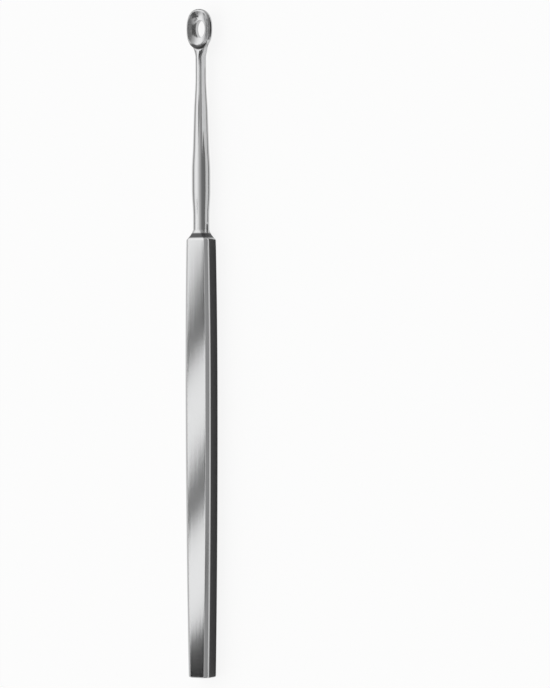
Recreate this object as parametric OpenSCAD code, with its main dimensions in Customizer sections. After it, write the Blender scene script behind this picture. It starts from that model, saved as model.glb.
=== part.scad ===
// Dermal curette, forged and ground from one bar of steel: a flat-sided
// handle with ground edges, a swelled round shank and an oval cup with a
// window through its floor.
// +Y runs along the tool towards the cup, +Z is out of the cup's mouth, and
// z = 0 is the flat face that the handle lies on. The origin is under the
// middle of the tool's length.

/* [Handle] */
// Length of the handle from the butt to the start of the shoulder
handle_l = 94.8; // [70:0.1:120]
// Width of the handle where it is fullest
handle_w = 6.35; // [6:0.05:9]
// Width of the handle at the butt
butt_w = 5.1; // [4.4:0.1:6]
// Width of the handle at the start of the shoulder
shoulder_w = 5.7; // [5.4:0.1:6]
// Distance from the butt to the place where the handle is fullest
belly_at = 64; // [40:1:66]
// Thickness of the handle between its two flat faces
handle_t = 4.4; // [4.3:0.1:6]
// How far each ground edge runs in over the broad face
edge_in = 0.84; // [0.6:0.02:1.2]
// How far it runs down the side
edge_down = 0.78; // [0.6:0.02:1.3]
// Where its two facets meet, in from the side
crease_in = 0.2; // [0.1:0.02:0.4]
// Where they meet, down from the broad face
crease_down = 0.38; // [0.2:0.02:0.5]
// Bevel round the butt
butt_bevel = 0.35; // [0.1:0.05:0.6]

/* [Shoulder] */
// Length of the bevel round the end of the handle
shoulder_bevel = 0.4; // [0.1:0.05:0.6]
// How far that bevel runs in from the sides of the handle
shoulder_in = 0.2; // [0.05:0.05:0.4]
// How far it runs in from the two flat faces
shoulder_drop = 0.1; // [0.05:0.05:0.15]
// Length of the hollow fillet from that bevel to the shank
fillet_l = 2.2; // [1:0.1:2.6]
// Hollowness of the fillet beside the shank, where 1 is a straight taper
fillet_hollow = 1.2; // [1:0.1:2]
// Hollowness of the fillet over the two flat faces
fillet_scoop = 2.6; // [1.2:0.1:3]

/* [Shank] */
// Length of the shank from the start of the shoulder to the cup
shank_l = 41.6; // [37:0.1:60]
// Diameter of the shank inside the fillet
root_d = 3.52; // [3.4:0.02:3.7]
// Diameter of the waist next to the shoulder
waist_d = 3.5; // [3:0.05:3.7]
// Distance from the start of the shoulder to the waist
waist_at = 5.2; // [4.5:0.1:7]
// Diameter of the swell
swell_d = 4; // [3.8:0.05:4.2]
// Distance from the start of the shoulder to the start of the swell
swell_at = 11; // [9:0.1:12]
// Length of the swell
swell_l = 3.6; // [1:0.1:5]
// Diameter a third of the way down the taper
upper_d = 3.48; // [3.3:0.02:3.7]
// Distance from the start of the shoulder to that place
upper_at = 20.2; // [18:0.1:22]
// Diameter two thirds of the way down the taper
lower_d = 2.95; // [2.7:0.05:3.2]
// Distance from the start of the shoulder to that place
lower_at = 28.4; // [25:0.1:30]
// Diameter of the neck
neck_d = 2.28; // [1.8:0.02:2.6]
// Length of the neck
neck_l = 4; // [2:0.1:6]
// Length of the flare from the neck to the edge of the cup
flare_l = 2.1; // [1.5:0.1:3]
// How far the flare runs on inside the cup's wall
flare_in = 1.6; // [1:0.1:2]
// Cover of the cup's wall over the end of the flare
flare_cover = 0.22; // [0.15:0.01:0.4]

/* [Cup] */
// Width of the cup
cup_w = 6.1; // [5.4:0.1:7.5]
// Length of the cup
cup_l = 8.6; // [7.5:0.1:10]
// Fullness of the cup's outline, where 2 is an ellipse
cup_full = 2.4; // [2:0.05:2.8]
// Depth of the cup from its rim to its back
cup_h = 2.1; // [1.9:0.1:2.4]
// Height of the rim above the middle of the shank
rim_rise = 1.2; // [1.1:0.05:1.5]
// Width of the bevel ground outside the cutting edge
lip_w = 0.36; // [0.2:0.02:0.5]
// Depth of that bevel
lip_h = 0.3; // [0.1:0.02:0.4]
// Flat land left on the cutting edge
edge_land = 0.05; // [0.03:0.01:0.2]
// Depth of the dish from the rim to the window
dish_h = 0.95; // [0.7:0.05:1.3]
// Hollow of the dish below a straight cone
dish_sag = 0.06; // [0:0.01:0.1]
// Width of the window
window_w = 2.3; // [1.8:0.1:2.6]
// Length of the window
window_l = 3.7; // [3:0.1:4.4]
// Width of the flat back round the window
back_land = 0.9; // [0.5:0.05:1.1]

/* [Hidden] */
$fn = 96;
steel = [0.66, 0.67, 0.68];
steps = 8;                          // steps between two places on a curve
ring = 64;                          // points round a section of the flare and the cup
sunk = 0.9;                         // share of the shank's radius where the handle ends
nearly = 0.95;                      // share of a half width that rounding may take
axis_z = handle_t / 2;              // height of the shank's middle line
total_l = handle_l + shank_l + cup_l;
cup_y = handle_l + shank_l + cup_l / 2;
cup_extra = (cup_l - cup_w) / 2;    // how much further the cup reaches along than across
fillet_y = shoulder_bevel + fillet_l / 2;   // where the shank starts, inside the fillet
cut = 1;                            // how far a cutter runs past a face

// A solid through sections that have the same number of points, each given
// anticlockwise as seen from the butt.
module skin(sections) {
    n = len(sections[0]);
    last = len(sections) - 1;
    polyhedron(
        points = [for (s = sections) each s],
        faces = [
            [for (i = [n - 1 : -1 : 0]) i],
            for (k = [0 : last - 1]) for (i = [0 : n - 1]) let (j = (i + 1) % n)
                [k * n + i, k * n + j, (k + 1) * n + j, (k + 1) * n + i],
            [for (i = [0 : n - 1]) last * n + i]
        ]
    );
}

// Half the handle's width at a distance y from the butt: it falls away from
// its fullest place towards both ends, as a shallow arc does.
function end_w(y) = y < belly_at ? butt_w : shoulder_w;
function end_at(y) = y < belly_at ? 0 : handle_l;
function half_w(y) = (handle_w - (handle_w - end_w(y))
    * pow((y - belly_at) / (end_at(y) - belly_at), 2)) / 2;

// A corner's cuts: in and down to its two ends, and to the crease between.
edge = [edge_in, crease_in, crease_down, edge_down];
function rounded(r) = let (c = r * (1 - cos(45))) [r, c, c, r];

// The handle's section: a rectangle of half width w and half thickness t,
// with two facets on each corner, at a distance y from the butt.
function section(y, w, t, e) = [for (q = [0 : 3]) for (k = [0 : 2]) let (
    p = [[w, t - e[3]], [w - e[1], t - e[2]], [w - e[0], t]][q % 2 == 0 ? k : 2 - k]
) [q == 0 || q == 3 ? p[0] : -p[0], y, q < 2 ? p[1] : -p[1]]];

module handle() {
    t = handle_t / 2;
    end_w = shoulder_w / 2 - shoulder_in;
    end_t = t - shoulder_drop;
    end_y = handle_l + shoulder_bevel;
    stations = [for (k = [0 : 2 * steps])
        k == 0 ? butt_bevel
        : k < steps ? belly_at * k / steps
        : belly_at + (handle_l - belly_at) * (k - steps) / steps];
    // The hollow fillet runs out inside the shank.
    root = root_d / 2 * sunk;
    skin([
        section(0, butt_w / 2 - butt_bevel, t - butt_bevel, edge),
        for (y = stations) section(y, half_w(y), t, edge),
        section(end_y, end_w, end_t, edge),
        for (k = [1 : steps]) let (
            s = k / steps,
            left = pow(1 - s, fillet_hollow),
            w = root + (end_w - root) * left,
            h = root + (end_t - root) * pow(1 - s, fillet_scoop),
            e = edge * left + rounded(h * nearly) * (1 - left)
        ) section(end_y + fillet_l * s, w, h, e)
    ]);
}

// The shank's places, as distances from the start of the shoulder with the
// radius there. A smooth curve runs through them, level at every rise and fall.
places = [
    [fillet_y, root_d / 2],
    [waist_at, waist_d / 2],
    [swell_at, swell_d / 2],
    [swell_at + swell_l, swell_d / 2],
    [upper_at, upper_d / 2],
    [lower_at, lower_d / 2],
    [shank_l - flare_l - neck_l, neck_d / 2],
    [shank_l - flare_l, neck_d / 2]
];
function grade(i) = (places[i + 1][1] - places[i][1]) / (places[i + 1][0] - places[i][0]);
function slope(i) = i == 0 ? grade(0)
    : i == len(places) - 1 || grade(i) * grade(i - 1) <= 0 ? 0
    : (grade(i) + grade(i - 1)) / 2;
function on_curve(i, t) = let (a = places[i], b = places[i + 1], d = b[0] - a[0]) [
    (2 * t * t * t - 3 * t * t + 1) * a[1] + (t * t * t - 2 * t * t + t) * d * slope(i)
        + (3 * t * t - 2 * t * t * t) * b[1] + (t * t * t - t * t) * d * slope(i + 1),
    a[0] + d * t
];

module shank() {
    rotate([-90, 0, 0]) rotate_extrude() polygon([
        [0, -cut],
        [root_d / 2, -cut],
        for (i = [0 : len(places) - 2]) for (k = [0 : steps - 1]) on_curve(i, k / steps),
        [neck_d / 2, shank_l - flare_l],
        [0, shank_l - flare_l]
    ]);
}

// The flare runs from the round neck into the cup's end. At a distance s
// past the end of the neck it is an oval with half width flare_r(s), between
// the heights flare_top(s) and flare_foot(s).
flare_end = flare_l + flare_in;
flare_end_r = cup_w / 2 * pow(1 - pow(1 - 2 * flare_in / cup_l, cup_full), 1 / cup_full)
    - flare_cover;
flare_end_top = rim_rise - lip_h - flare_cover;
flare_end_foot = rim_rise - cup_h + flare_cover;
function swing(s) = (1 - cos(180 * s / flare_end)) / 2;
function flare_r(s) = neck_d / 2 + (flare_end_r - neck_d / 2) * swing(s);
function flare_top(s) = neck_d / 2 + (flare_end_top - neck_d / 2) * swing(s);
function flare_foot(s) = (flare_end_foot + neck_d / 2) * swing(s) - neck_d / 2;

module flare() {
    inside = 0.995;                 // the flare starts just inside the neck
    skin([
        for (k = [-1 : steps]) let (
            s = flare_end * k / steps,
            r = k < 0 ? neck_d / 2 : flare_r(s),
            top = k < 0 ? neck_d / 2 : flare_top(s),
            foot = k < 0 ? -neck_d / 2 : flare_foot(s)
        ) [
            for (i = [0 : ring - 1]) let (a = 360 * i / ring) [
                inside * r * cos(a),
                shank_l - flare_l + s,
                (top + foot) / 2 + inside * (top - foot) / 2 * sin(a)
            ]
        ]
    ]);
}

// A level ring of the cup, at the height z: an oval with half width rx and
// half length ry, which is an ellipse where n is 2 and fuller where it is more.
function oval(rx, ry, n, z) = [for (i = [0 : ring - 1])
    let (a = 360 * i / ring, c = cos(a), s = sin(a)) [
        rx * sign(c) * pow(abs(c), 2 / n),
        ry * sign(s) * pow(abs(s), 2 / n),
        z
    ]];

// The cup's outside, from the rim down to the flat back.
module bowl() {
    r = cup_w / 2;
    back_r = window_w / 2 + back_land;
    belly_h = cup_h - lip_h;
    function level(x, z) = oval(x, x + cup_extra, cup_full, z);
    skin([
        level(r - lip_w, 0),
        for (k = [0 : steps]) let (a = 90 * k / steps)
            level(back_r + (r - back_r) * cos(a), -lip_h - belly_h * sin(a))
    ]);
}

// The hollow inside the rim, which closes in on the window and runs out
// through it. Its rings change over to the window's ellipse on the way down.
module hollow() {
    mouth = cup_w / 2 - lip_w - edge_land;
    w = window_w / 2;
    l = window_l / 2;
    function level(s, z) = oval(
        mouth + (w - mouth) * s,
        mouth + cup_extra + (l - mouth - cup_extra) * s,
        cup_full + (2 - cup_full) * s,
        z
    );
    skin([
        level(0, cut),
        for (k = [0 : steps]) let (s = k / steps)
            level(s, -dish_h * s - 4 * dish_sag * s * (1 - s)),
        level(1, -cup_h - cut)
    ]);
}

module curette() {
    color(steel) translate([0, -total_l / 2, axis_z]) difference() {
        union() {
            handle();
            translate([0, handle_l, 0]) {
                shank();
                flare();
            }
            translate([0, cup_y, rim_rise]) bowl();
        }
        translate([0, cup_y, rim_rise]) hollow();
    }
}

curette();
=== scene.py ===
# Dermal curette, one bar of polished steel, lying on a pale table top.
import math

import bmesh
import bpy
from mathutils import Matrix, Vector


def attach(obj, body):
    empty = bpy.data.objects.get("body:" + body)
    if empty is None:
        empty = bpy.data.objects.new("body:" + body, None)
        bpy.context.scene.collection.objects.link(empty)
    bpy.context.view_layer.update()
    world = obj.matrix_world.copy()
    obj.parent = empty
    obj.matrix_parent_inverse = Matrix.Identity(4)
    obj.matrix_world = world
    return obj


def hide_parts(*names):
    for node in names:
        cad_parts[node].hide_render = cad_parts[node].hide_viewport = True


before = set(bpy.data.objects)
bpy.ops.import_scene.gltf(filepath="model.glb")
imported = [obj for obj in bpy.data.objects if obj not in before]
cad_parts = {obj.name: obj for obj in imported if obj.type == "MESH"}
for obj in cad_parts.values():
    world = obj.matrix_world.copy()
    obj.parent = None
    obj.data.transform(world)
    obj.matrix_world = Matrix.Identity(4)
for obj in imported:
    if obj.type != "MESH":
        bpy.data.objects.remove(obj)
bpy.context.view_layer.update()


print("frame loaded:", sorted(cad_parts))

mm = 0.001


def addMesh(name, bm):
    mesh = bpy.data.meshes.new(name)
    bm.to_mesh(mesh)
    bm.free()
    piece = bpy.data.objects.new(name, mesh)
    bpy.context.scene.collection.objects.link(piece)
    return piece


# the steel: what a polisher would call satin, with the grind running along the tool
steel = {
    "colour": (0.52, 0.522, 0.525, 1.0),
    "roughness": 0.15,
    "streakAcross": 2600.0,             # streaks to the metre across the tool
    "streakAlong": 45.0,                # and along it
    "streakHeight": 0.003 * mm,
    "streakDetail": 3.0,
    # painted shade: the steel is darkened in the hollow behind the collar (place along the tool, half length),
    "collarHollow": (23.38 * mm, 0.52 * mm),
    "collarSoft": 0.4 * mm,
    # and round the neck's end of the rim, in a ring, also painted shade (middle, then half width and half
    # length of its oval)
    "rimMiddle": (0.0, 68.2 * mm, 0.0),
    "rimOval": (3.05 * mm, 4.3 * mm),
    "rimBand": (0.94, 0.1),             # middle and half width of the ring, in shares of the oval
    "rimSoft": 0.1,
    "rimEnds": (64.7 * mm, 65.3 * mm),  # where it starts to fade, and is gone
    # the painted shade's dark colour, and a rougher finish where it lies
    "paintedShadeColour": (0.085, 0.085, 0.087, 1.0),
    "hollowRoughness": 0.4,
}


def addMath(nodes, operation):
    node = nodes.new("ShaderNodeMath")
    node.operation = operation
    return node


def addBand(nodes, links, measure, band, soft):
    # one inside the band, nothing outside it
    middle, half = band
    off = addMath(nodes, "SUBTRACT")
    off.inputs[1].default_value = middle
    either = addMath(nodes, "ABSOLUTE")
    inside = nodes.new("ShaderNodeMapRange")
    inside.interpolation_type = "SMOOTHSTEP"
    inside.inputs["From Min"].default_value = half - soft / 2
    inside.inputs["From Max"].default_value = half + soft / 2
    inside.inputs["To Min"].default_value = 1.0
    inside.inputs["To Max"].default_value = 0.0
    links.new(measure, off.inputs[0])
    links.new(off.outputs["Value"], either.inputs[0])
    links.new(either.outputs["Value"], inside.inputs["Value"])
    return inside


def steelMaterial(recipe):
    material = bpy.data.materials.new("steel")
    material.use_nodes = True
    nodes = material.node_tree.nodes
    links = material.node_tree.links
    shader = nodes["Principled BSDF"]
    shader.inputs["Base Color"].default_value = recipe["colour"]
    shader.inputs["Metallic"].default_value = 1.0
    shader.inputs["Roughness"].default_value = recipe["roughness"]
    place = nodes.new("ShaderNodeTexCoord")
    stretch = nodes.new("ShaderNodeMapping")
    across, along = recipe["streakAcross"], recipe["streakAlong"]
    stretch.inputs["Scale"].default_value = (across, along, across)
    streak = nodes.new("ShaderNodeTexNoise")
    streak.inputs["Scale"].default_value = 1.0
    streak.inputs["Detail"].default_value = recipe["streakDetail"]
    bump = nodes.new("ShaderNodeBump")
    bump.inputs["Strength"].default_value = 1.0
    bump.inputs["Distance"].default_value = recipe["streakHeight"]
    links.new(place.outputs["Object"], stretch.inputs["Vector"])
    split = nodes.new("ShaderNodeSeparateXYZ")
    links.new(place.outputs["Object"], split.inputs["Vector"])
    # painted shade: darker colour in the hollow behind the collar
    shadeBehindCollar = addBand(nodes, links, split.outputs["Y"], recipe["collarHollow"], recipe["collarSoft"])
    fromRim = nodes.new("ShaderNodeVectorMath")
    fromRim.operation = "SUBTRACT"
    fromRim.inputs[1].default_value = recipe["rimMiddle"]
    inOvals = nodes.new("ShaderNodeVectorMath")
    inOvals.operation = "MULTIPLY"
    wide, long = recipe["rimOval"]
    inOvals.inputs[1].default_value = (1 / wide, 1 / long, 0.0)
    ring = nodes.new("ShaderNodeVectorMath")
    ring.operation = "LENGTH"
    links.new(place.outputs["Object"], fromRim.inputs[0])
    links.new(fromRim.outputs["Vector"], inOvals.inputs[0])
    links.new(inOvals.outputs["Vector"], ring.inputs[0])
    # painted shade: darker colour in a ring under the rim, on the neck's side
    shadeUnderRim = addBand(nodes, links, ring.outputs["Value"], recipe["rimBand"], recipe["rimSoft"])
    neckSide = nodes.new("ShaderNodeMapRange")
    neckSide.interpolation_type = "SMOOTHSTEP"
    fades, gone = recipe["rimEnds"]
    neckSide.inputs["From Min"].default_value = fades
    neckSide.inputs["From Max"].default_value = gone
    neckSide.inputs["To Min"].default_value = 1.0
    neckSide.inputs["To Max"].default_value = 0.0
    shadeAtNeck = addMath(nodes, "MULTIPLY")
    links.new(split.outputs["Y"], neckSide.inputs["Value"])
    links.new(shadeUnderRim.outputs["Result"], shadeAtNeck.inputs[0])
    links.new(neckSide.outputs["Result"], shadeAtNeck.inputs[1])
    paintedShade = addMath(nodes, "MAXIMUM")
    links.new(shadeBehindCollar.outputs["Result"], paintedShade.inputs[0])
    links.new(shadeAtNeck.outputs["Value"], paintedShade.inputs[1])
    # mixes the painted shade into the steel's colour
    colour = nodes.new("ShaderNodeMix")
    colour.data_type = "RGBA"                           # its colour sockets are 6 and 7, and 2 comes out
    colour.inputs[6].default_value = recipe["colour"]
    colour.inputs[7].default_value = recipe["paintedShadeColour"]
    rough = nodes.new("ShaderNodeMapRange")
    rough.inputs["To Min"].default_value = recipe["roughness"]
    rough.inputs["To Max"].default_value = recipe["hollowRoughness"]
    links.new(paintedShade.outputs["Value"], colour.inputs["Factor"])
    links.new(paintedShade.outputs["Value"], rough.inputs["Value"])
    links.new(colour.outputs[2], shader.inputs["Base Color"])
    links.new(rough.outputs["Result"], shader.inputs["Roughness"])
    links.new(stretch.outputs["Vector"], streak.inputs["Vector"])
    links.new(streak.outputs["Fac"], bump.inputs["Height"])
    links.new(bump.outputs["Normal"], shader.inputs["Normal"])
    return material


# all sizes of the tool are millimetres, measured from its butt, up from the shank's middle line
bar = {
    "length": 94.8,
    "wide": 6.35,
    "buttWide": 5.1,
    "endWide": 5.7,
    "fullestAt": 64.0,
    "thick": 4.4,
    # each long edge is ground in two facets: (in from the side, down from the broad face) of its corners
    "edge": [(0.0, 0.78), (0.2, 0.38), (0.84, 0.0)],
    "edgeSoft": 0.05,                   # how far the polishing rounds each corner
    "buttRound": 0.35,
    "buttSteps": 4,
    "stations": 40,
    "flatShading": 60,                  # how much the broad faces outweigh the small ones in the shading
}
collar = {                              # where the bar steps down to the shank
    "bevelLong": 0.4,
    "bevelIn": 0.2,
    "bevelDrop": 0.1,
    "bevelSteps": 3,
    "hollow": 1.2,                      # 1 would be a straight taper
    "hollowTop": 2.6,                   # steeper over the broad faces
    "squareness": 0.5,                  # how slowly its section turns round
    "steps": 18,
}
shank = {
    "length": 41.6,
    "neckRadius": 1.14,
    "flareLong": 2.1,
    "flareInside": 1.6,                 # how far the flare's curve is meant to run on inside the cup
    "flareStop": 1.7,                   # where its last ring stands
    "flareWide": 4.3,
    "flareFoot": -0.68,
    "flareTop": 0.72,
    "jointCuts": 5,
    "jointSpread": 3,
    "jointPasses": 12,
    "jointSmooth": 0.5,
    "jointClear": 0.001,                # how far below the lip the smoothing stops
    # distance from the bar's end, and the radius there
    "places": [(2.3, 1.76), (5.2, 1.75), (11.0, 2.0), (14.6, 2.0), (20.2, 1.74), (28.4, 1.475),
               (35.5, 1.14), (39.5, 1.14)],
    "stepsPerPlace": 12,
    "flareSteps": 12,
}
cup = {
    "wide": 6.1,
    "long": 8.6,
    "fullness": 2.4,                    # 2 is an ellipse
    "deep": 2.1,
    "rimRise": 1.2,
    "lipWide": 0.36,                    # ground bevel outside the cutting edge
    "lipDrop": 0.3,
    "lipCrown": 0.8,                    # below 1 it is slightly crowned
    "lipSteps": (0.35, 0.7, 1.0),
    "edgeFlat": 0.05,
    "dishDeep": 0.95,
    "dishSag": 0.17,
    "windowWide": 2.3,
    "windowLong": 3.7,
    "windowRound": 0.1,
    "windowSteps": (0.35, 0.7, 1.0),
    "windowFoot": (0.0, 0.3, 0.65, 1.0),
    "backLand": 0.9,
    "backSteps": (0.4, 0.8),
    "columns": 96,
    "bellySteps": 16,
    "dishSteps": 12,
    "neckColumns": 18,                  # columns of the belly that open into the neck
}
ringPoints = 64                         # round the bar and the shank


def halfWide(y):
    end, at = (bar["buttWide"], 0) if y < bar["fullestAt"] else (bar["endWide"], bar["length"])
    far = (y - bar["fullestAt"]) / (at - bar["fullestAt"])
    return (bar["wide"] - (bar["wide"] - end) * far * far) / 2


def edgePoints(wide, thick):
    # the ground edge of one quarter, from the side round to the broad face, with every corner just softened
    corners = [Vector((wide - x, thick - z)) for x, z in bar["edge"]]
    path = [Vector((wide, 0))] + corners + [Vector((0, thick))]
    soft = bar["edgeSoft"]
    points = []
    for before, corner, after in zip(path, path[1:], path[2:]):
        start = corner + (before - corner).normalized() * soft
        end = corner + (after - corner).normalized() * soft
        points += [start, (start + end + 2 * corner) / 4, end]
    return points


def barQuarter(wide, thick):
    points = edgePoints(wide, thick)
    flats = ringPoints // 4 - len(points) + 1
    side, top = points[0], points[-1]
    low = flats // 2
    high = flats - low
    lower = [Vector((wide, side.y * count / low)) for count in range(low)]
    upper = [Vector((top.x * (1 - count / high), thick)) for count in range(1, high + 1)]
    return lower + points + upper


def barSection(y, wide, thick):
    quarter = ringPoints // 4
    corner = barQuarter(wide, thick)
    points = []
    for count in range(ringPoints):
        side, step = divmod(count, quarter)
        x, z = corner[quarter - step if side % 2 else step]
        points.append(Vector((x if side in (0, 3) else -x, y, z if side in (0, 1) else -z)))
    return points


def ovalSection(y, wide, foot, top):
    points = []
    for count in range(ringPoints):
        turn = 2 * math.pi * count / ringPoints
        points.append(Vector((wide * math.cos(turn), y, (top + foot) / 2 + (top - foot) / 2 * math.sin(turn))))
    return points


def levelOval(wide, long, fullness, z, middle):
    points = []
    for count in range(cup["columns"]):
        turn = 2 * math.pi * count / cup["columns"]
        across, along = math.cos(turn), math.sin(turn)
        points.append(Vector((
            math.copysign(wide * abs(across) ** (2 / fullness), across),
            middle + math.copysign(long * abs(along) ** (2 / fullness), along),
            z)))
    return points


def mixPoints(first, second, share):
    return [a.lerp(b, share) for a, b in zip(first, second)]


def firstRing(bm, points):
    ring = bmesh.ops.create_circle(bm, segments=len(points), radius=1.0)["verts"]
    for vert, point in zip(ring, points):
        vert.co = point
    return ring


def ringEdges(bm, ring):
    return [bm.edges.get((a, b)) for a, b in zip(ring, ring[1:] + ring[:1])]


def nextRing(bm, ring, points):
    made = bmesh.ops.extrude_edge_only(bm, edges=ringEdges(bm, ring))["geom"]
    new = {item for item in made if isinstance(item, bmesh.types.BMVert)}
    following = []
    for vert, point in zip(ring, points):
        partner = next(e.other_vert(vert) for e in vert.link_edges if e.other_vert(vert) in new)
        partner.co = point
        following.append(partner)
    return following


def shankRadii():
    places = shank["places"]
    grades = [(b[1] - a[1]) / (b[0] - a[0]) for a, b in zip(places, places[1:])]
    slopes = [grades[0]]
    for before, after in zip(grades, grades[1:]):
        slopes.append(0 if before * after <= 0 else (before + after) / 2)
    slopes.append(0)
    steps = shank["stepsPerPlace"]
    radii = []
    for index, (a, b) in enumerate(zip(places, places[1:])):
        run = b[0] - a[0]
        for count in range(steps):
            t = count / steps
            radii.append((a[0] + run * t,
                          (2 * t ** 3 - 3 * t ** 2 + 1) * a[1] + (t ** 3 - 2 * t ** 2 + t) * run * slopes[index]
                          + (3 * t ** 2 - 2 * t ** 3) * b[1] + (t ** 3 - t ** 2) * run * slopes[index + 1]))
    radii.append(places[-1])
    return radii


def addBar(bm):
    thick = bar["thick"] / 2
    inset = bar["buttRound"]
    start = halfWide(0)
    ring = firstRing(bm, barSection(0, start - inset, thick - inset))
    bmesh.ops.contextual_create(bm, geom=ringEdges(bm, ring))
    for count in range(1, bar["buttSteps"] + 1):
        turn = math.radians(90 * count / bar["buttSteps"])
        back = inset * (1 - math.sin(turn))
        ring = nextRing(bm, ring, barSection(inset * (1 - math.cos(turn)), start - back, thick - back))
    for count in range(1, bar["stations"] + 1):
        y = inset + (bar["length"] - inset) * count / bar["stations"]
        ring = nextRing(bm, ring, barSection(y, halfWide(y), thick))
    return ring


def addCollar(bm, ring):
    y = bar["length"]
    wide = bar["endWide"] / 2
    thick = bar["thick"] / 2
    for count in range(1, collar["bevelSteps"] + 1):
        share = count / collar["bevelSteps"]
        ring = nextRing(bm, ring, barSection(
            y + collar["bevelLong"] * share,
            wide - collar["bevelIn"] * share ** 2,
            thick - collar["bevelDrop"] * share ** 2))
    y += collar["bevelLong"]
    wide -= collar["bevelIn"]
    thick -= collar["bevelDrop"]
    rootY, rootRadius = shank["places"][0]
    rootY += bar["length"]
    root = ovalSection(rootY, rootRadius, -rootRadius, rootRadius)
    for count in range(1, collar["steps"]):
        along = count / collar["steps"]
        left = (1 - along) ** collar["hollow"]
        drop = (1 - along) ** collar["hollowTop"]
        square = barSection(
            0, rootRadius + (wide - rootRadius) * left, rootRadius + (thick - rootRadius) * drop)
        points = mixPoints(root, square, left ** collar["squareness"])
        for point in points:
            point.y = y + (rootY - y) * along
        ring = nextRing(bm, ring, points)
    return nextRing(bm, ring, root)


def addShank(bm, ring):
    for y, radius in shankRadii()[1:]:
        y += bar["length"]
        ring = nextRing(bm, ring, ovalSection(y, radius, -radius, radius))
    return ring


def addFlare(bm, ring):
    # opens out smoothly from the round neck towards the whole end of the cup
    neck = shank["neckRadius"]
    start = bar["length"] + shank["length"] - shank["flareLong"]
    reach = shank["flareLong"] + shank["flareInside"]
    for count in range(1, shank["flareSteps"] + 1):
        along = shank["flareStop"] * count / shank["flareSteps"]
        share = (1 - math.cos(math.pi * along / reach)) / 2
        ring = nextRing(bm, ring, ovalSection(
            start + along,
            neck + (shank["flareWide"] / 2 - neck) * share,
            -neck + (shank["flareFoot"] + neck) * share,
            neck + (shank["flareTop"] - neck) * share))
    return ring


def cupLevels():
    # the wall's section, once round: window edge, back, belly, lip, edge, dish and down the window again
    wide = cup["wide"] / 2
    extra = (cup["long"] - cup["wide"]) / 2
    windowWide = cup["windowWide"] / 2
    windowLong = cup["windowLong"] / 2
    backWide = windowWide + cup["backLand"]
    small = cup["windowRound"]
    full = cup["fullness"]
    levels = []
    for share in cup["windowFoot"]:                     # rounded lower edge of the window
        turn = math.radians(90 * share)
        grow = small * (1 - math.cos(turn))
        levels.append((windowWide + grow, windowLong + grow, 2.0, -cup["deep"] + small * (1 - math.sin(turn))))
    for share in cup["backSteps"]:                      # flat back
        levels.append((
            windowWide + small + (backWide - windowWide - small) * share,
            windowLong + small + (backWide + extra - windowLong - small) * share,
            2.0 + (full - 2.0) * share, -cup["deep"]))
    for count in range(cup["bellySteps"] + 1):
        turn = math.radians(90 * (1 - count / cup["bellySteps"]))
        x = backWide + (wide - backWide) * math.cos(turn)
        levels.append((x, x + extra, full, -cup["lipDrop"] - (cup["deep"] - cup["lipDrop"]) * math.sin(turn)))
    for share in cup["lipSteps"]:                       # ground lip
        x = wide - cup["lipWide"] * share
        levels.append((x, x + extra, full, -cup["lipDrop"] * (1 - share ** cup["lipCrown"])))
    mouth = wide - cup["lipWide"] - cup["edgeFlat"]
    for count in range(cup["dishSteps"] + 1):
        share = count / cup["dishSteps"]
        levels.append((
            mouth + (windowWide + small - mouth) * share,
            mouth + extra + (windowLong + small - mouth - extra) * share,
            full + (2.0 - full) * share,
            -cup["dishDeep"] * share - 4 * cup["dishSag"] * share * (1 - share)))
    for share in cup["windowSteps"]:                    # rounded upper edge of the window
        turn = math.radians(90 * share)
        levels.append((
            windowWide + small * (1 - math.sin(turn)),
            windowLong + small * (1 - math.sin(turn)),
            2.0, -cup["dishDeep"] - small * (1 - math.cos(turn))))
    levels.append((windowWide, windowLong, 2.0, -(cup["dishDeep"] + cup["deep"]) / 2))
    return levels


def addCup(bm):
    middle = bar["length"] + shank["length"] + cup["long"] / 2
    rings = []
    for wide, long, fullness, z in cupLevels():
        points = levelOval(wide, long, fullness, cup["rimRise"] + z, middle)
        rings.append(nextRing(bm, rings[-1], points) if rings else firstRing(bm, points))
    bmesh.ops.bridge_loops(bm, edges=ringEdges(bm, rings[-1]) + ringEdges(bm, rings[0]))
    return rings


def openCup(bm, rings):
    # takes out the patch of the belly that the neck runs into, and gives the edge left round it
    first = cup["columns"] * 3 // 4 - cup["neckColumns"] // 2    # three quarters round is the butt's side
    columns = range(first, first + cup["neckColumns"] + 1)
    start = len(cup["windowFoot"]) + len(cup["backSteps"]) + 1
    across = (ringPoints - 2 * cup["neckColumns"]) // 2
    patch = {rings[level][column] for level in range(start, start + across + 1) for column in columns}
    faces = [face for face in bm.faces if all(vert in patch for vert in face.verts)]
    edges = {edge for face in faces for edge in face.edges}
    bmesh.ops.delete(bm, geom=faces, context="FACES")
    return [edge for edge in edges if edge.is_valid and edge.is_boundary]


def joinNeck(bm, ring, mouthEdges):
    joint = bmesh.ops.bridge_loops(bm, edges=ringEdges(bm, ring) + mouthEdges)
    cuts = bmesh.ops.subdivide_edges(bm, edges=joint["edges"], cuts=shank["jointCuts"], use_grid_fill=True)
    soft = {item for item in cuts["geom_inner"] if isinstance(item, bmesh.types.BMVert)}
    for _ in range(shank["jointSpread"]):
        soft |= {edge.other_vert(vert) for vert in soft for edge in vert.link_edges}
    top = cup["rimRise"] - cup["lipDrop"]
    soft = [vert for vert in soft if vert.co.z < top - shank["jointClear"]]
    for _ in range(shank["jointPasses"]):
        bmesh.ops.smooth_vert(
            bm, verts=soft, factor=shank["jointSmooth"], use_axis_x=True, use_axis_y=True, use_axis_z=True)


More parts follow.
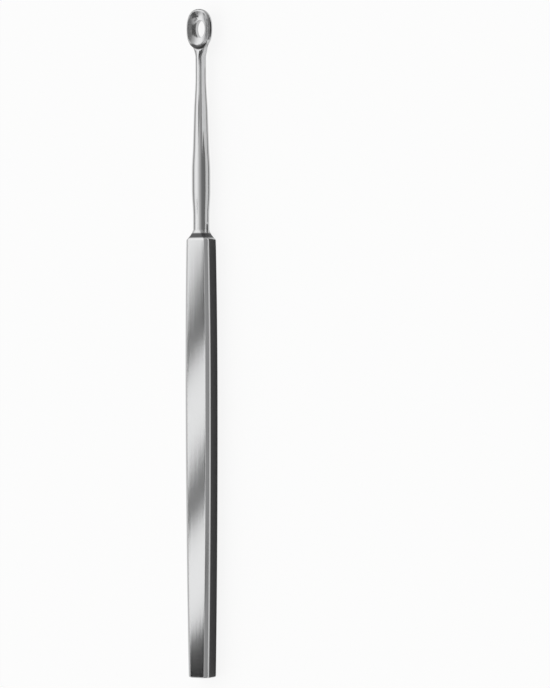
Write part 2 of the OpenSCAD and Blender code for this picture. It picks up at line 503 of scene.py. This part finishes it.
def makeCurette():
    bm = bmesh.new()
    ring = addBar(bm)
    ring = addCollar(bm, ring)
    ring = addShank(bm, ring)
    ring = addFlare(bm, ring)
    rings = addCup(bm)
    joinNeck(bm, ring, openCup(bm, rings))
    bmesh.ops.recalc_face_normals(bm, faces=bm.faces)
    reach = bar["length"] + shank["length"] + cup["long"]
    bmesh.ops.translate(bm, verts=bm.verts, vec=(0, -reach / 2, bar["thick"] / 2))
    bmesh.ops.scale(bm, verts=bm.verts, vec=(mm, mm, mm))
    for face in bm.faces:
        face.smooth = True
    piece = addMesh("curetteBody", bm)
    piece.modifiers.new("flatFacets", "WEIGHTED_NORMAL").weight = bar["flatShading"]
    return piece


curette = makeCurette()
curette.data.materials.append(steelMaterial(steel))
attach(curette, "root")
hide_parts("curette")
print("curette:", len(curette.data.polygons), "faces")

# the table top, which is seen as a white backdrop but keeps some of the tool's shadow
table = {
    "size": 4.0,
    "squares": 8,
    "colour": (0.95, 0.95, 0.945, 1.0),
    "roughness": 0.9,
    "shine": 0.1,
    "backdrop": 0.86,                   # how much of it is plain white to the camera, to metal and to glass
}


def addTable(recipe):
    bm = bmesh.new()
    squares = recipe["squares"]
    bmesh.ops.create_grid(bm, x_segments=squares, y_segments=squares, size=recipe["size"] / 2)
    top = addMesh("tableTop", bm)
    material = bpy.data.materials.new("tableTop")
    material.use_nodes = True
    nodes = material.node_tree.nodes
    links = material.node_tree.links
    shader = nodes["Principled BSDF"]
    shader.inputs["Base Color"].default_value = recipe["colour"]
    shader.inputs["Roughness"].default_value = recipe["roughness"]
    shader.inputs["Specular IOR Level"].default_value = recipe["shine"]
    white = nodes.new("ShaderNodeEmission")
    white.inputs["Color"].default_value = (1, 1, 1, 1)
    white.inputs["Strength"].default_value = 1.0
    ray = nodes.new("ShaderNodeLightPath")
    metalToo = addMath(nodes, "ADD")
    glassToo = addMath(nodes, "ADD")
    share = addMath(nodes, "MULTIPLY")
    share.inputs[1].default_value = recipe["backdrop"]
    mix = nodes.new("ShaderNodeMixShader")
    links.new(ray.outputs["Is Camera Ray"], metalToo.inputs[0])
    links.new(ray.outputs["Is Glossy Ray"], metalToo.inputs[1])
    links.new(metalToo.outputs["Value"], glassToo.inputs[0])
    links.new(ray.outputs["Is Transmission Ray"], glassToo.inputs[1])
    links.new(glassToo.outputs["Value"], share.inputs[0])
    links.new(share.outputs["Value"], mix.inputs["Fac"])
    links.new(shader.outputs["BSDF"], mix.inputs[1])
    links.new(white.outputs["Emission"], mix.inputs[2])
    links.new(mix.outputs["Shader"], nodes["Material Output"].inputs["Surface"])
    top.data.materials.append(material)
    return top


addTable(table)
print("table top")

# light: a white tent, brightest over the left shoulder and falling off to the right and towards the ends
tent = {
    # (from the left horizon at -1 through overhead at 0 to the right horizon at 1, brightness there)
    "across": [(-1.0, 0.3), (-0.95, 0.6), (-0.86, 1.12), (-0.69, 1.52), (-0.47, 1.52), (-0.26, 1.38),
               (-0.03, 1.04), (0.17, 0.75), (0.39, 0.58), (0.57, 0.36), (0.74, 0.26), (1.0, 0.24)],
    "buttPaleTo": -0.45,                # towards the butt it stays as bright as this
    "buttDimFrom": -0.85,               # and beyond this it has only a share of it
    "buttDim": 0.35,
}


def putUpTent(recipe):
    world = bpy.data.worlds.new("tent")
    world.use_nodes = True
    nodes = world.node_tree.nodes
    links = world.node_tree.links
    background = nodes["Background"]
    background.inputs["Color"].default_value = (1, 1, 1, 1)
    direction = nodes.new("ShaderNodeTexCoord")
    split = nodes.new("ShaderNodeSeparateXYZ")
    ramp = nodes.new("ShaderNodeMapRange")
    ramp.inputs["From Min"].default_value = -1.0        # the left horizon
    across = nodes.new("ShaderNodeValToRGB")
    brightest = max(value for place, value in recipe["across"])
    marks = across.color_ramp.elements
    while len(marks) < len(recipe["across"]):
        marks.new(0.5)
    for mark, (place, value) in zip(marks, recipe["across"]):
        mark.position = (place + 1) / 2
        mark.color = (value / brightest, value / brightest, value / brightest, 1)
    along = nodes.new("ShaderNodeMapRange")
    along.interpolation_type = "SMOOTHSTEP"
    along.inputs["From Min"].default_value = recipe["buttDimFrom"]
    along.inputs["From Max"].default_value = recipe["buttPaleTo"]
    along.inputs["To Min"].default_value = brightest * recipe["buttDim"]
    along.inputs["To Max"].default_value = brightest
    both = addMath(nodes, "MULTIPLY")
    links.new(direction.outputs["Generated"], split.inputs["Vector"])
    links.new(split.outputs["X"], ramp.inputs["Value"])
    links.new(ramp.outputs["Result"], across.inputs["Fac"])
    links.new(split.outputs["Y"], along.inputs["Value"])
    links.new(across.outputs["Color"], both.inputs[0])
    links.new(along.outputs["Result"], both.inputs[1])
    links.new(both.outputs["Value"], background.inputs["Strength"])
    bpy.context.scene.world = world


putUpTent(tent)
print("tent")

# cards that only the steel sees, each an outline of points in millimetres
cards = {
    # how pale each paper is, and how much it glows
    "papers": {"dark": (0.04, 0.0), "grey": (0.16, 0.0), "midGrey": (0.3, 0.0), "paleGrey": (0.48, 0.0),
               "white": (0.9, 0.35)},
    # leaning over the tool on the side that the broad face mirrors, by where they show in it (across, along)
    "away": 80 * mm,
    "leaning": [
        ("upperBand", [(-30, -44), (-2, -6.5), (2, -0.5), (16, 10), (16, 23), (4, 23), (2, 17), (-2, 4),
                       (-30, -32)]),
        ("middleBand", [(-30, -77), (-2, -41), (2, -36.5), (20, -12), (20, 2), (2, -23), (-2, -31),
                        (-30, -65)]),
        ("lowerBand", [(-30, -84), (2, -61), (20, -40), (20, -90), (2, -112), (-30, -125)]),
    ],
    # lying, standing or hung about the tool, mirrored by its sides, the shank and the cup
    "standing": [
        ("sideCard", "grey", [(2.75, -75, 0.3), (8, -75, 0.3), (8, 26, 0.3), (3.1, 26, 0.3), (3.3, 5, 0.3),
                              (3.3, -20, 0.3), (3.1, -50, 0.3)]),
        ("shankSide", "grey", [(3, 26.3, 0.3), (4.1, 26.3, 0.3), (4.2, 36, 0.3), (3.4, 60, 0.3), (2.4, 60, 0.3),
                               (3.2, 36, 0.3)]),
        ("cupSide", "dark", [(3.6, 64.5, 0.3), (70, 64.5, 0.3), (70, 90, 0.3), (3.6, 77, 0.3)]),
        ("neckTop", "paleGrey", [(-6, 48, 40), (-2, 48, 40), (8, 55, 40), (8, 60, 40), (-12, 60, 40),
                                 (-12, 55, 40)]),
        ("cupTop", "grey", [(-16, 64, 40), (24, 64, 40), (24, 82, 40), (-16, 82, 40)]),
        ("cupEnd", "grey", [(0, -60, 25), (10, -60, 25), (60, -60, 110), (130, -60, 220), (-90, -60, 220)]),
        ("cupTip", "paleGrey", [(-90, 120, 0.5), (60, 120, 0.5), (60, 120, 20), (-90, 120, 20)]),
        ("neckSide", "white", [(6, 37, 1), (6, 63.5, 1), (6, 63.5, 8), (6, 42, 8), (6, 47, 5.2)]),
        ("cupRight", "midGrey", [(26, 45, 1), (26, 90, 1), (26, 90, 40), (26, 66, 40), (26, 64, 22),
                                 (26, 45, 22)]),
    ],
}


def cardMaterial(name, tone, glow):
    material = bpy.data.materials.new(name)
    material.use_nodes = True
    shader = material.node_tree.nodes["Principled BSDF"]
    shader.inputs["Base Color"].default_value = (tone, tone, tone, 1.0)
    shader.inputs["Roughness"].default_value = 1.0
    shader.inputs["Emission Color"].default_value = (tone, tone, tone, 1.0)
    shader.inputs["Emission Strength"].default_value = glow
    return material


def addCard(name, corners, material):
    bm = bmesh.new()
    bm.faces.new([bm.verts.new(corner) for corner in corners])
    card = addMesh(name, bm)
    card.data.materials.append(material)
    card.visible_camera = False
    card.visible_diffuse = False
    card.visible_shadow = False


def addCards(recipe, view):
    papers = {name: cardMaterial(name + "Card", tone, glow) for name, (tone, glow) in recipe["papers"].items()}
    lean = math.radians(view["lean"])
    towards = Vector((-math.sin(lean), 0, math.cos(lean)))
    sideways = Vector((math.cos(lean), 0, math.sin(lean)))
    distance = view["tall"] * view["lens"] / view["sensor"]
    # a card further from the camera than the steel has to be larger than it shows
    spread = 1 + recipe["away"] / distance
    for name, outline in recipe["leaning"]:
        corners = [towards * recipe["away"] + (sideways * across + Vector((0, along, 0))) * mm * spread
                   for across, along in outline]
        addCard(name, corners, papers["dark"])
    for name, paper, outline in recipe["standing"]:
        addCard(name, [Vector(corner) * mm for corner in outline], papers[paper])


# the camera looks down from the right of the tool, square to its length
shot = {
    "lean": 31.0,                       # degrees off the vertical, to the right
    "roll": 0.16,
    "lens": 200.0,
    "sensor": 36.0,
    "tall": 149.3 * mm,                 # what the picture's height takes in
    "across": 15.94 * mm,               # how far the tool is left of the middle
    "along": -0.2 * mm,
    "height": 2.2 * mm,
}


def addCamera(recipe):
    data = bpy.data.cameras.new("camera")
    data.sensor_width = recipe["sensor"]
    data.lens = recipe["lens"]
    camera = bpy.data.objects.new("camera", data)
    bpy.context.scene.collection.objects.link(camera)
    lean = math.radians(recipe["lean"])
    roll = math.radians(recipe["roll"])
    back = Vector((math.sin(lean), 0, math.cos(lean)))
    right = Vector((math.cos(lean), 0, -math.sin(lean)))
    up = Vector((0, 1, 0))
    aim = Vector((0, 0, recipe["height"])) + right * recipe["across"] + up * recipe["along"]
    away = recipe["tall"] * recipe["lens"] / recipe["sensor"]
    turned = right * math.cos(roll) - up * math.sin(roll)
    camera.matrix_world = Matrix.Translation(aim + back * away) @ Matrix(
        (turned, back.cross(turned), back)).transposed().to_4x4()
    bpy.context.scene.camera = camera
    return camera


addCamera(shot)
addCards(cards, shot)
print("cards:", len(cards["leaning"]) + len(cards["standing"]))
bpy.context.scene.view_settings.view_transform = "Standard"
print("camera")
